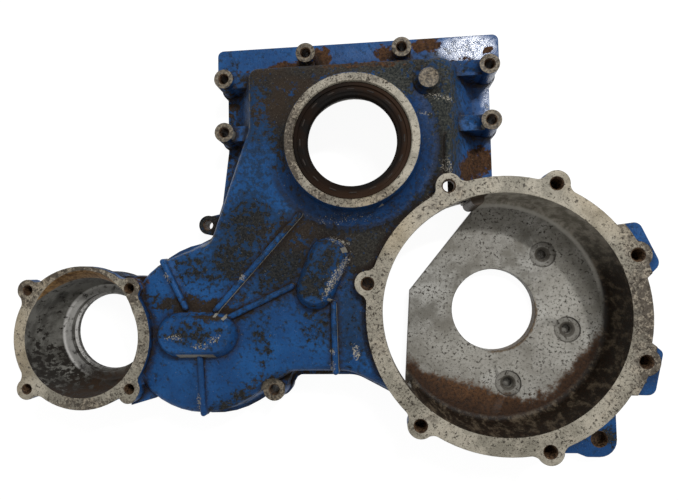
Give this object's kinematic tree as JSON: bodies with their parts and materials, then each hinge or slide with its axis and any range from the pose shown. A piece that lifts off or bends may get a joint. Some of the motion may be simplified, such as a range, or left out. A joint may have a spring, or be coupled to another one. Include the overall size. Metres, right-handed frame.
{
  "type": "timing cover",
  "caption": "Cast aluminium engine front cover with a pressed-in crankshaft oil seal, a round gear chamber, a side tube, ribs, pads and bolt bosses, in worn blue paint.",
  "frame": {"origin": "crankshaft axis at the plane of the gasket face", "axes": "+Z out of the cover's front along the crankshaft axis, +Y towards the sump edge, +X towards the round gear chamber"},
  "size_m": [0.5794, 0.4043, 0.07],
  "materials": {
    "cast_aluminium": "sand-cast, blue paint chipped and stained, machined faces bare",
    "seal_rubber": "moulded, matt, oily",
    "spring_steel": "drawn wire"
  },
  "bodies": {
    "root": {"cover_casting": "cast_aluminium", "crank_seal": "seal_rubber", "garter_spring": "spring_steel"}
  },
  "joints": []
}
